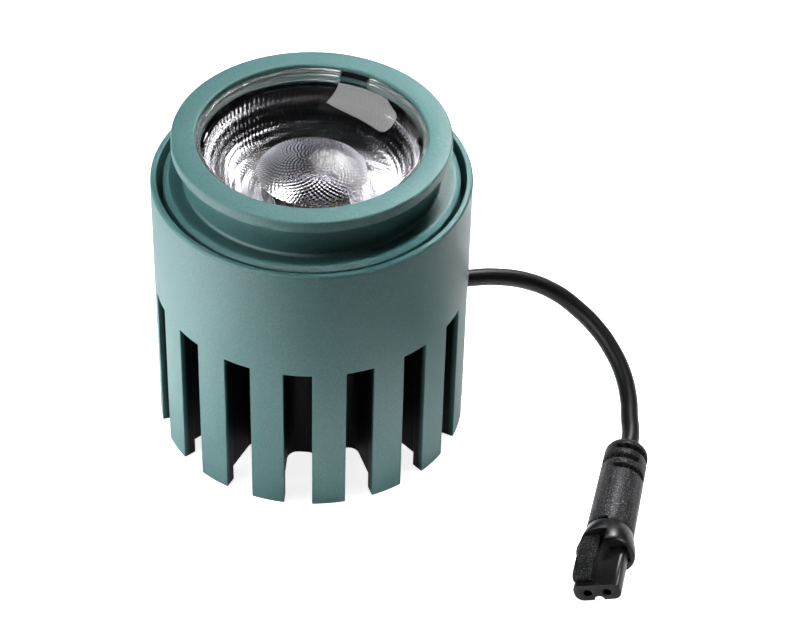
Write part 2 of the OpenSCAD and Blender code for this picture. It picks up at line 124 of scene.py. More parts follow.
@dataclass(frozen=True)
class Finish:
    """A surface finish, named for its material and how the surface was made.

    Its grain, with a size and depth in millimetres, makes the gloss uneven and raises the bump.
    """

    name: str
    _: KW_ONLY
    grain: float = 0.4
    detail: float = 2.0
    roughness: Span = (0.34, 0.46)
    gleam: float = 0.5
    depth: float = 0.02
    strength: float = 0.2

    def material(self) -> bpy.types.Material:
        """The finish's material, made on its first use."""
        return bpy.data.materials.get(self.name) or self.make()

    def make(self) -> bpy.types.Material:
        """Makes the material, with gloss and bump from the grain, and dresses its shader.

        Returns:
            The new material.
        """
        made = bpy.data.materials.new(self.name)
        made.use_nodes = True
        tree = made.node_tree
        shader = tree.nodes["Principled BSDF"]
        place = add_node(tree, "ShaderNodeTexCoord").outputs["Object"]
        grain = add_node(tree, "ShaderNodeTexNoise", {
            "Vector": place, "Scale": per_mm(self.grain), "Detail": self.detail}).outputs["Fac"]
        low, high = self.roughness
        rough = low if low == high else add_node(tree, "ShaderNodeMapRange", {
            "Value": grain, "To Min": low, "To Max": high}).outputs["Result"]
        wire(tree, shader, {"Roughness": rough, "Specular IOR Level": self.gleam})
        if self.depth:
            bump = add_node(tree, "ShaderNodeBump", {
                "Height": grain, "Strength": self.strength, "Distance": self.depth * MM})
            wire(tree, shader, {"Normal": bump.outputs["Normal"]})
        self.dress(tree, shader, place, grain)
        return made

    def dress(self, tree: Tree, shader: Node, place: Socket, grain: Socket) -> None:
        """Adds the finish's colour; each kind of finish has its own."""
        raise NotImplementedError


@dataclass(frozen=True)
class PowderCoat(Finish):
    """Satin metallic powder coat on aluminium, with a fine orange-peel bump.

    Fine grains and a few pale flakes in a deep teal give it a dry sparkle, and a half-matt skin spreads
    each light into a broad sheen. Real grains are about 0.1 mm; they are drawn coarser to show.
    """

    dark: str
    light: str
    flake: str
    grain_span: Span = (0.32, 0.68)
    flake_size: float = 0.3
    flake_span: Span = (0.9, 1.0)
    flake_share: float = 0.1
    _: KW_ONLY
    grain: float = 0.26
    roughness: Span = (0.36, 0.44)
    gleam: float = 0.38
    depth: float = 0.03
    strength: float = 0.15

    def dress(self, tree: Tree, shader: Node, place: Socket, grain: Socket) -> None:
        """Adds the grain's two shades and the flakes.

        Args:
            tree: Node tree of the material.
            shader: Its principled shader.
            place: Point on the piece.
            grain: Noise of the finish's grain.
        """
        shade = add_node(tree, "ShaderNodeMapRange", {
            "Value": grain, "From Min": self.grain_span[0], "From Max": self.grain_span[1]})
        skin = add_node(tree, "ShaderNodeMix", {
            "Factor": shade.outputs["Result"], "A": linear(self.dark), "B": linear(self.light)},
            data_type="RGBA")
        cells = add_node(tree, "ShaderNodeTexVoronoi", {"Vector": place, "Scale": per_mm(self.flake_size)})
        chance = add_node(tree, "ShaderNodeSeparateColor", {"Color": cells.outputs["Color"]})
        few = add_node(tree, "ShaderNodeMapRange", {
            "Value": chance.outputs["Red"], "From Min": self.flake_span[0], "From Max": self.flake_span[1],
            "To Max": self.flake_share})
        colour = add_node(tree, "ShaderNodeMix", {
            "Factor": few.outputs["Result"], "A": skin.outputs["Result"], "B": linear(self.flake)},
            data_type="RGBA")
        wire(tree, shader, {"Base Color": colour.outputs["Result"]})


@dataclass(frozen=True)
class PaintedShadeCoat(PowderCoat):
    """The powder coat with painted shade, on the bars' sides and the sleeve's inner faces.

    Its teal darkens to black within a millimetre or so of the outer wall, as painted shade where the slots'
    shade falls, so the slots look deep.
    """

    # Colour of the painted shade deep in the slots, and the radii between which it gives way to the coat.
    black: str = "#060707"
    shade_full_r: float = 33.6
    shade_free_r: float = 34.9
    _: KW_ONLY
    gleam: float = 0.1

    def dress(self, tree: Tree, shader: Node, place: Socket, grain: Socket) -> None:
        """Adds the coat, then darkens its colour to black by the distance from the axis, as painted shade.

        Args:
            tree: Node tree of the material.
            shader: Its principled shader.
            place: Point on the piece.
            grain: Noise of the finish's grain.
        """
        super().dress(tree, shader, place, grain)
        coat = shader.inputs["Base Color"].links[0].from_socket
        flat = add_node(tree, "ShaderNodeVectorMath", {0: place, 1: (1.0, 1.0, 0.0)}, operation="MULTIPLY")
        reach = add_node(tree, "ShaderNodeVectorMath", {0: flat.outputs[0]}, operation="LENGTH")
        # Painted shade: black near the axis, the full coat towards the outer wall.
        unshaded = add_node(tree, "ShaderNodeMapRange", {
            "Value": reach.outputs["Value"], "From Min": self.shade_full_r * MM, "From Max": self.shade_free_r * MM})
        colour = add_node(tree, "ShaderNodeMix", {
            "Factor": unshaded.outputs["Result"], "A": linear(self.black), "B": coat}, data_type="RGBA")
        wire(tree, shader, {"Base Color": colour.outputs["Result"]})


@dataclass(frozen=True)
class Anodised(Finish):
    """Anodised aluminium: a dyed, finely etched oxide skin, so dull and even that recesses look deep; its
    black also serves as painted shade.
    """

    colour: str
    pale_times: float = 1.6
    _: KW_ONLY
    grain: float = 0.5
    detail: float = 3.0
    roughness: Span = (0.55, 0.55)
    gleam: float = 0.12
    depth: float = 0.04
    strength: float = 0.15

    def dress(self, tree: Tree, shader: Node, place: Socket, grain: Socket) -> None:
        """Adds a cloudy colour.

        Args:
            tree: Node tree of the material.
            shader: Its principled shader.
            place: Point on the piece.
            grain: Noise of the finish's grain.
        """
        pale = tuple(min(1.0, c * self.pale_times) for c in linear(self.colour))
        colour = add_node(tree, "ShaderNodeMix", {
            "Factor": grain, "A": linear(self.colour), "B": pale}, data_type="RGBA")
        wire(tree, shader, {"Base Color": colour.outputs["Result"]})


@dataclass(frozen=True)
class ClearMoulding(Finish):
    """Clear moulded polycarbonate: water-clear and bright, with the mould's faint flow marks in its gloss."""

    colour: str
    clarity: float = 1.0
    index: float = 1.585
    _: KW_ONLY
    grain: float = 6.0
    roughness: Span = (0.01, 0.03)
    depth: float = 0.0

    def dress(self, tree: Tree, shader: Node, place: Socket, grain: Socket) -> None:
        """Makes the plastic clear."""
        wire(tree, shader, {
            "Base Color": linear(self.colour), "IOR": self.index, "Transmission Weight": self.clarity})


@dataclass(frozen=True)
class Moulded(Finish):
    """Moulded or extruded polymer: an even colour with the grain that the tool's steel left on it; on the
    plug its pale peaks are painted glints.
    """

    colour: str
    # Paler colour of the grain's peaks: a random tone, and on the plug painted glints.
    peak_and_glint: str
    peak_and_glint_span: Span = (0.2, 0.8)

    def dress(self, tree: Tree, shader: Node, place: Socket, grain: Socket) -> None:
        """Adds the colour and its paler peaks, which on the plug are painted glints.

        Args:
            tree: Node tree of the material.
            shader: Its principled shader.
            place: Point on the piece.
            grain: Noise of the finish's grain.
        """
        top = add_node(tree, "ShaderNodeMapRange", {
            "Value": grain, "From Min": self.peak_and_glint_span[0], "From Max": self.peak_and_glint_span[1]})
        colour = add_node(tree, "ShaderNodeMix", {
            "Factor": top.outputs["Result"], "A": linear(self.colour), "B": linear(self.peak_and_glint)},
            data_type="RGBA")
        wire(tree, shader, {"Base Color": colour.outputs["Result"]})


@dataclass(frozen=True)
class Plated(Finish):
    """Plated or plain metal hardware: bright, with fine handling marks that break up its reflections."""

    colour: str
    _: KW_ONLY
    grain: float = 0.6
    detail: float = 4.0
    depth: float = 0.0

    def dress(self, tree: Tree, shader: Node, place: Socket, grain: Socket) -> None:
        """Adds the metal's colour."""
        wire(tree, shader, {"Base Color": linear(self.colour), "Metallic": 1.0})


class Skin(Enum):
    """The finishes that the module's pieces wear."""

    # Satin teal with a dry sparkle, and the same with painted shade, which darkens it to black into the
    # slots.
    TEAL = PowderCoat("aluminium_teal_powder_coat", "#3f6767", "#4b7676", "#82a8a7")
    TEAL_PAINTED_SHADE = PaintedShadeCoat("aluminium_teal_powder_coat_painted_shade", "#3f6767", "#4b7676", "#82a8a7")
    # Deep dull black that shows little of the light that falls between the bars; on the core it is partly
    # painted shade that keeps the slots dark, and in the barrel's ring groove it is painted shade.
    BLACK_ANODISED_AND_SHADE = Anodised("aluminium_black_anodised_and_painted_shade", "#060707")
    # Water-clear with sharp highlights; and the same plastic, frosted, which glows grey-green over the coat.
    LENS = ClearMoulding("polycarbonate_clear_moulded", "#f2f0f8")
    CLIP = ClearMoulding("polycarbonate_frosted_moulded", "#c4d0ce", clarity=0.88, roughness=(0.12, 0.2))
    # Black with a coarse spark-eroded grain, drawn a little coarser than the real 0.2 mm; the grain's pale
    # peaks are painted glints.
    PLUG_GRAINED = Moulded("pvc_black_spark_grained", "#020202", "#6a6a6f", roughness=(0.39, 0.51), grain=0.3,
                           depth=0.06, strength=0.6, peak_and_glint_span=(0.55, 0.8), gleam=0.2)
    # Black and half glossy, so that its edges draw thin bright lines; the grain's pale peaks are painted
    # glints.
    PLUG_SMOOTH = Moulded("pbt_black_moulded", "#060607", "#55555a", roughness=(0.26, 0.38),
                          depth=0.03, strength=0.3, peak_and_glint_span=(0.62, 0.9), gleam=0.4)
    # Soft black jacket with one long narrow highlight.
    CABLE = Moulded("pvc_black_extruded_jacket", "#040405", "#070708", roughness=(0.36, 0.48), grain=0.8,
                    strength=0.15, gleam=0.35)
    # Dull black bush.
    RUBBER = Moulded("rubber_black_moulded", "#0d0d0d", "#161616", roughness=(0.59, 0.71), grain=0.3,
                     depth=0.03, strength=0.3)
    # Half-glossy wire insulation.
    WIRE_RED = Moulded("pvc_red_extruded", "#9b140e", "#ab1a12", roughness=(0.29, 0.41))
    WIRE_BLACK = Moulded("pvc_black_extruded", "#0c0c0d", "#141415", roughness=(0.29, 0.41))
    # Chalky white with a fine fired grain.
    CERAMIC = Moulded("alumina_white_sintered", "#e2e2dc", "#efefea", roughness=(0.39, 0.51), grain=0.2)
    # Plain black moulding, hardly seen below the lens.
    HOLDER = Moulded("lcp_black_moulded", "#0e0e0e", "#171717", roughness=(0.39, 0.51), grain=0.5)
    # Pale yellow with the phosphor's fine powder in it.
    PHOSPHOR = Moulded("silicone_phosphor_cast", "#e0c777", "#ecd793", roughness=(0.19, 0.31), grain=0.12)
    # Dull grey sheet with a coarse filler.
    HEAT_PAD = Moulded("silicone_grey_filled_pad", "#84888d", "#989ca1", roughness=(0.64, 0.76), grain=0.25)
    # Bright, slightly worn metal: cool grey zinc and warm brass.
    STEEL = Plated("steel_zinc_plated", "#b9bcc2", roughness=(0.24, 0.46))
    BRASS = Plated("brass_stamped", "#c9a45a", roughness=(0.2, 0.42))


def show(piece: Piece, slot: str, *nodes: str) -> None:
    """Hands a piece to the frame and reports it.

    Args:
        piece: Finished piece, in place.
        slot: Not used.
        *nodes: CAD nodes that it stands for.
    """
    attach(piece, ROOT)
    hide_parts(*nodes)
    log.info("piece %s stands for %s", piece.name, ", ".join(nodes))


def dress_node(node: str, skin: Skin) -> None:
    """Gives a CAD node its finish and reports it.

    Args:
        node: Name of the CAD node.
        skin: Finish that it wears.
    """
    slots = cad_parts[node].data.materials
    slots.clear()
    slots.append(skin.value.material())
    log.info("node %s wears %s", node, skin.value.name)


def new_object(name: str, points: list[Point], faces: Faces) -> Piece:
    """Makes a mesh object from points in millimetres.

    Args:
        name: Name of the piece.
        points: Points in millimetres.
        faces: Indices of each face's points.

    Returns:
        The object, linked to the scene.
    """
    mesh = bpy.data.meshes.new(name)
    mesh.from_pydata([tuple(c * MM for c in p) for p in points], [], faces)
    mesh.validate()
    made = bpy.data.objects.new(name, mesh)
    bpy.context.scene.collection.objects.link(made)
    return made


def lathe(profile: Profile, segments: int) -> tuple[list[Point], Faces]:
    """Turns a closed profile round the Z axis.

    Args:
        profile: Radius and height of each corner, clockwise when radius runs right and height up.
        segments: Steps round the axis.

    Returns:
        Points and faces of the turned ring.
    """
    size = len(profile)
    points = [(r * math.cos(a), r * math.sin(a), z)
              for a in (math.tau * s / segments for s in range(segments)) for r, z in profile]
    faces = [(s * size + k, (s + 1) % segments * size + k, (s + 1) % segments * size + (k + 1) % size,
              s * size + (k + 1) % size) for s in range(segments) for k in range(size)]
    return points, faces


def rounded(profile: Profile, radius: float, steps: int = 3) -> Profile:
    """Rounds the corners of a closed profile.

    Args:
        profile: Corners of the profile.
        radius: Length that the rounding takes from each side of a corner, in the profile's units.
        steps: Straight steps of each rounding.

    Returns:
        The profile with its corners rounded.
    """
    made = []
    for before, corner, after in zip(profile[-1:] + profile[:-1], profile, profile[1:] + profile[:1]):
        here = Vector(corner)
        arms = [Vector(p) - here for p in (before, after)]
        reach = [min(radius, arm.length * CORNER_SHARE) for arm in arms]
        start, end = (here + arm.normalized() * length for arm, length in zip(arms, reach))
        for i in range(steps + 1):
            t = i / steps
            made.append(tuple(start * (1 - t) ** 2 + here * (2 * t * (1 - t)) + end * t ** 2))
    return made


def circle(r: float, z: float, count: int) -> list[Point]:
    """Even points on a level circle round the Z axis.

    Args:
        r: Radius of the circle.
        z: Its height.
        count: Number of points.

    Returns:
        The points, from the X axis on.
    """
    return [(r * math.cos(math.tau * j / count), r * math.sin(math.tau * j / count), z) for j in range(count)]


def smooth(piece: Piece) -> None:
    """Shades a piece smooth and keeps its sharp edges."""
    piece.data.shade_smooth()
    piece.data.set_sharp_from_angle(angle=math.radians(SHARP_ANGLE))


def soften(piece: Piece, width: float) -> None:
    """Rounds a piece's sharp edges with a bevel and shades it smooth.

    Args:
        piece: Piece whose edges are rounded.
        width: Width of the bevel in millimetres.
    """
    bevel = piece.modifiers.new("soft_edges", "BEVEL")
    bevel.width, bevel.segments, bevel.limit_method = width * MM, BEVEL_STEPS, "ANGLE"
    bevel.angle_limit = math.radians(SHARP_ANGLE)
    bevel.harden_normals = True
    piece.data.shade_smooth()


def dress_faces(piece: Piece, skins: tuple[Skin, Skin], second: Callable[[Vector, float], bool]) -> None:
    """Gives some faces of a piece its second finish and the others its first.

    Args:
        piece: Piece whose faces are dressed.
        skins: Its two finishes.
        second: Tells from a face's centre, in millimetres, and how far it faces away from the axis, from 1
            outwards to -1 inwards, whether it takes the second finish.
    """
    piece.data.materials.clear()
    for skin in skins:
        piece.data.materials.append(skin.value.material())
    for face in piece.data.polygons:
        out = Vector((face.center.x, face.center.y, 0)).normalized()
        face.material_index = int(second(face.center / MM, face.normal.dot(out)))


def softened_copy(node: str, name: str, skin: Skin, edge: float) -> Piece:
    """Copies a CAD node as one joined mesh with softened edges.

    Args:
        node: CAD node to copy.
        name: Name of the new piece.
        skin: Finish that it wears.
        edge: Width of its softened edges in millimetres.

    Returns:
        The new piece.
    """
    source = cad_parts[node]
    shape = bmesh.new()
    shape.from_mesh(source.data)
    shape.transform(source.matrix_world)
    bmesh.ops.remove_doubles(shape, verts=shape.verts, dist=MERGE_GAP * MM)
    bmesh.ops.dissolve_limit(shape, angle_limit=math.radians(FLAT_ANGLE), verts=shape.verts,
                             edges=shape.edges)
    mesh = bpy.data.meshes.new(name)
    shape.to_mesh(mesh)
    shape.free()
    piece = bpy.data.objects.new(name, mesh)
    bpy.context.scene.collection.objects.link(piece)
    mesh.materials.append(skin.value.material())
    soften(piece, edge)
    return piece


def run_tree(piece: Piece, tree: Tree, values: dict[str, object]) -> None:
    """Runs a geometry node tree on a piece and keeps the result as a plain mesh.

    Args:
        piece: Object whose mesh is the tree's input.
        tree: Geometry node tree.
        values: Value of each named input.
    """
    modifier = piece.modifiers.new(tree.name, "NODES")
    modifier.node_group = tree
    for item in tree.interface.items_tree:
        if item.in_out == "INPUT" and item.name in values:
            modifier[item.identifier] = values[item.name]
    bpy.context.view_layer.update()
    evaluated = piece.evaluated_get(bpy.context.evaluated_depsgraph_get())
    mesh = bpy.data.meshes.new_from_object(evaluated)
    piece.modifiers.clear()
    piece.data = mesh


def new_tree(name: str, inputs: dict[str, str]) -> tuple[Tree, Node, Node]:
    """Starts a geometry node tree.

    Args:
        name: Name of the tree.
        inputs: Socket type of each named input after the geometry.

    Returns:
        The tree, its input node and its output node.
    """
    tree = bpy.data.node_groups.new(name, "GeometryNodeTree")
    tree.interface.new_socket("Geometry", in_out="INPUT", socket_type="NodeSocketGeometry")
    for label, kind in inputs.items():
        tree.interface.new_socket(label, in_out="INPUT", socket_type=kind)
    tree.interface.new_socket("Geometry", in_out="OUTPUT", socket_type="NodeSocketGeometry")
    return tree, add_node(tree, "NodeGroupInput"), add_node(tree, "NodeGroupOutput")


class Seen(Enum):
    """What shows a lamp: everything, matt surfaces only, gloss only or clear parts only."""

    ALL = ("diffuse", "glossy", "transmission")
    MATT = ("diffuse",)
    GLOSS = ("glossy",)
    CLEAR = ("transmission",)


@dataclass(frozen=True)
class SoftBox:
    """A rectangular studio lamp that faces the module, with sizes in metres, watts and degrees.

    A card is a lamp that only gloss or clear parts show.
    """

    name: str
    place: Point
    width: float
    height: float
    power: float
    facing: Point
    spread: float = 180.0
    seen: Seen = Seen.ALL

    def build(self) -> None:
        """Makes the lamp and turns it to its aim."""
        data = bpy.data.lights.new(self.name, "AREA")
        data.shape = "RECTANGLE"
        data.size, data.size_y, data.energy = self.width, self.height, self.power
        data.spread = math.radians(self.spread)
        lamp = bpy.data.objects.new(self.name, data)
        for ray in Seen.ALL.value:
            setattr(lamp, f"visible_{ray}", ray in self.seen.value)
        lamp.location = self.place
        lamp.rotation_euler = Vector(self.facing).to_track_quat("-Z", "Y").to_euler()
        bpy.context.scene.collection.objects.link(lamp)


@dataclass
class Studio:
    """Camera, floor and soft light. The camera was fitted to the circles in the photograph."""

    camera_place: Point = (-0.13756, -0.43629, 0.42716)
    camera_right: Point = (0.94608618, -0.32319453, 0.02159228)
    camera_up: Point = (0.19739832, 0.62812746, 0.75265517)
    focal_length: float = 121.4
    clip: Span = (0.01, 50.0)
    floor_half: float = 6.0
    floor_colour: str = "#e8e8e8"
    floor_glow: float = 0.85
    floor_shine: float = 0.3
    room_colour: str = "#ffffff"
    room_glow: float = 1.0
    room_shine: float = 0.02
    world_level: float = 0.02
    # Place, width, height, power, direction and spread of each lamp.
    lamps: tuple[SoftBox, ...] = (
        SoftBox("low_left_softbox", (-0.566, 0.18, 0.134), 0.35, 0.2, 3.6, (0.944, -0.3, -0.14),
                seen=Seen.MATT),
        SoftBox("back_softbox", (0.23, 0.241, 0.351), 0.11, 0.11, 1.6, (-0.528, -0.553, -0.645)),
        SoftBox("near_softbox", (0.1187, 0.2244, 0.2962), 0.16, 0.16, 0.5, (-0.282, -0.727, -0.626),
                seen=Seen.MATT),
        SoftBox("top_softbox", (0.012, -0.006, 0.46), 0.08, 0.08, 0.032, (0.0, 0.0, -1.0), 16.0, Seen.MATT),
        SoftBox("left_floor_light", (-0.12, -0.02, 0.2), 0.1, 0.14, 0.24, (0.0, 0.0, -1.0), 45.0),
        SoftBox("right_floor_light", (0.16, 0.06, 0.2), 0.1, 0.14, 0.17, (0.0, 0.0, -1.0), 45.0),
        SoftBox("front_floor_light", (0.0, -0.056, 0.028), 0.12, 0.014, 0.018, (0.0, 0.0, -1.0), 80.0),
        SoftBox("plug_softbox", (0.16, -0.09, 0.11), 0.06, 0.06, 0.009, (-0.748, 0.13, -0.65), 40.0),
        SoftBox("left_card", (-0.649, -0.18, 0.474), 1.043, 0.634, 10.5, (0.89, 0.063, -0.451),
                seen=Seen.GLOSS),
        SoftBox("front_card", (-0.105, -0.259, 0.49), 0.16, 0.16, 0.7, (0.21, 0.518, -0.829),
                seen=Seen.CLEAR),
        SoftBox("facet_card", (-0.29, -0.203, 0.47), 0.34, 0.3, 8.0, (0.547, 0.383, -0.745),
                seen=Seen.CLEAR),
        SoftBox("dome_card", (-0.04, 0.1, 0.56), 0.18, 0.18, 1.2, (0.08, -0.2, -0.976), seen=Seen.CLEAR),
        SoftBox("inner_card", (0.113, -0.105, 0.55), 0.08, 0.08, 0.2, (-0.226, 0.21, -0.951),
                seen=Seen.CLEAR),
    )

    def build(self) -> None:
        """Makes the camera first, then floor, world and lamps."""
        self.build_camera()
        self.build_floor()
        self.build_world()
        for lamp in self.lamps:
            lamp.build()
        bpy.context.scene.view_settings.view_transform = "Standard"

    def build_camera(self) -> None:
        """Makes the camera from its fitted place and axes."""
        data = bpy.data.cameras.new("camera")
        data.lens = self.focal_length
        data.clip_start, data.clip_end = self.clip
        camera = bpy.data.objects.new("camera", data)
        right, up = Vector(self.camera_right), Vector(self.camera_up)
        turn = Matrix((right, up, right.cross(up))).transposed()
        camera.matrix_world = Matrix.Translation(self.camera_place) @ turn.to_4x4()
        bpy.context.scene.collection.objects.link(camera)
        bpy.context.scene.camera = camera

    def seen_light(self, tree: Tree, seen: float, shine: float) -> Socket:
        """Strength of a backdrop that the camera, gloss and clear parts see.

        Args:
            tree: Node tree of the backdrop.
            seen: Strength for the camera, where 1 is white.
            shine: Strength for what gloss and clear parts show.

        Returns:
            The strength's socket.
        """
        rays = add_node(tree, "ShaderNodeLightPath").outputs
        clear = add_node(tree, "ShaderNodeMath", {0: rays["Is Glossy Ray"], 1: rays["Is Transmission Ray"]})
        shown = add_node(tree, "ShaderNodeMath", {0: clear.outputs[0], 1: shine}, operation="MULTIPLY")
        return add_node(tree, "ShaderNodeMath", {0: rays["Is Camera Ray"], 1: seen, 2: shown.outputs[0]},
                        operation="MULTIPLY_ADD").outputs[0]

    def build_floor(self) -> None:
        """Makes the pale floor: it glows for the camera and still takes the shadow."""
        half = self.floor_half / MM
        floor = new_object("floor", [(-half, -half, 0), (half, -half, 0), (half, half, 0), (-half, half, 0)],
                           [(0, 1, 2, 3)])
        paper = bpy.data.materials.new("paper_white_matt")
        paper.use_nodes = True
        tree = paper.node_tree
        tree.nodes.clear()
        matt = add_node(tree, "ShaderNodeBsdfDiffuse", {"Color": linear(self.floor_colour)})
        light = add_node(tree, "ShaderNodeEmission", {
            "Strength": self.seen_light(tree, self.floor_glow, self.floor_shine)})
        both = add_node(tree, "ShaderNodeAddShader", {0: matt.outputs[0], 1: light.outputs[0]})
        add_node(tree, "ShaderNodeOutputMaterial", {"Surface": both.outputs[0]})
        floor.data.materials.append(paper)

    def build_world(self) -> None:
        """Makes the room round the studio: white to the camera and dim for the module."""
        world = bpy.data.worlds.new("room")
        world.use_nodes = True
        tree = world.node_tree
        level = add_node(tree, "ShaderNodeMath", {
            0: self.seen_light(tree, self.room_glow, self.room_shine), 1: self.world_level})
        wire(tree, tree.nodes["Background"], {
            "Color": linear(self.room_colour), "Strength": level.outputs[0]})
        bpy.context.scene.world = world


@dataclass
class Lead:
    """The round lead, from the grommet in the core's deck to the plug."""

    diameter: float = 4.0
    round_steps: int = 8
    knot_steps: int = 8
    leaves: Point = (22.65, 0.0, 38.0)
    route: tuple[Point, ...] = (
        (22.65, 0, 49), (22.65, 0, 43.3), (22.65, 0, 37.6), (23.476, 0, 33.658), (25.828, 0, 30.317),
        (29.348, 0, 28.084), (33.5, 0, 27.3), (38, 0, 26.8), (45, -0.2, 25.5), (51.9, -1.6, 23.6),
        (57.7, -4.6, 21.2), (62, -8.8, 18.3), (64.9, -13.4, 15.7), (66.6, -18.1, 13.3), (67.4, -24.2, 10.4),
        (66.6, -30.2, 8), (64.8, -35.6, 6.6), (63.4, -39.7, 5.9), (60.6, -44.4, 5.75),
    )
    plug_pieces: tuple[str, ...] = (
        "plug_body_grained", "plug_collar_smooth", "plug_nose_smooth", "plug_contacts")

    def length(self) -> float:
        """Length of the route in millimetres."""
        return sum((Vector(b) - Vector(a)).length for a, b in zip(self.route, self.route[1:]))

    def build(self) -> None:
        data = bpy.data.curves.new("lead_jacket", "CURVE")
        data.dimensions = "3D"
        data.bevel_depth = self.diameter / 2 * MM
        data.bevel_resolution = self.round_steps
        data.resolution_u = self.knot_steps
        data.use_fill_caps = True
        line = data.splines.new("BEZIER")
        line.bezier_points.add(len(self.route) - 1)
        for knot, place in zip(line.bezier_points, self.route):
            knot.co = Vector(place) * MM
            knot.handle_left_type = knot.handle_right_type = "AUTO"
        data.materials.append(Skin.CABLE.value.material())
        jacket = bpy.data.objects.new("lead_jacket", data)
        bpy.context.scene.collection.objects.link(jacket)
        show(jacket, "cable_jacket", "cable")


@dataclass
class Plug:
    """The two-pole plug at the lead's end: grained body, smooth collar, and nose with two contacts."""

    edge: float = 0.12
    pieces: tuple[tuple[str, str, Skin, str], ...] = (
        ("plug_body", "plug_body_grained", Skin.PLUG_GRAINED, "grained_plug"),
        ("plug_collar", "plug_collar_smooth", Skin.PLUG_SMOOTH, "smooth_plug"),
        ("plug_contact_carrier", "plug_nose_smooth", Skin.PLUG_SMOOTH, "smooth_plug"))
    middle: Point = (39.82, -79.28, 5.75)
    up: Point = (-0.2725, 0.1623, 0.9483)
    nose_top: float = 2.3

    def on_latch(self, at: Vector, out: float) -> bool:
        """Tells whether a face of the nose is on the latch, which stands above the nose's top."""
        return (at - Vector(self.middle)).dot(Vector(self.up)) > self.nose_top

    def build(self) -> None:
        """Makes the moulded pieces with softened edges, grains the latch and dresses the contacts."""
        for node, name, skin, slot in self.pieces:
            piece = softened_copy(node, name, skin, self.edge)
            if node == "plug_contact_carrier":
                dress_faces(piece, (skin, Skin.PLUG_GRAINED), self.on_latch)
            show(piece, slot, node)
        dress_node("plug_contacts", Skin.BRASS)


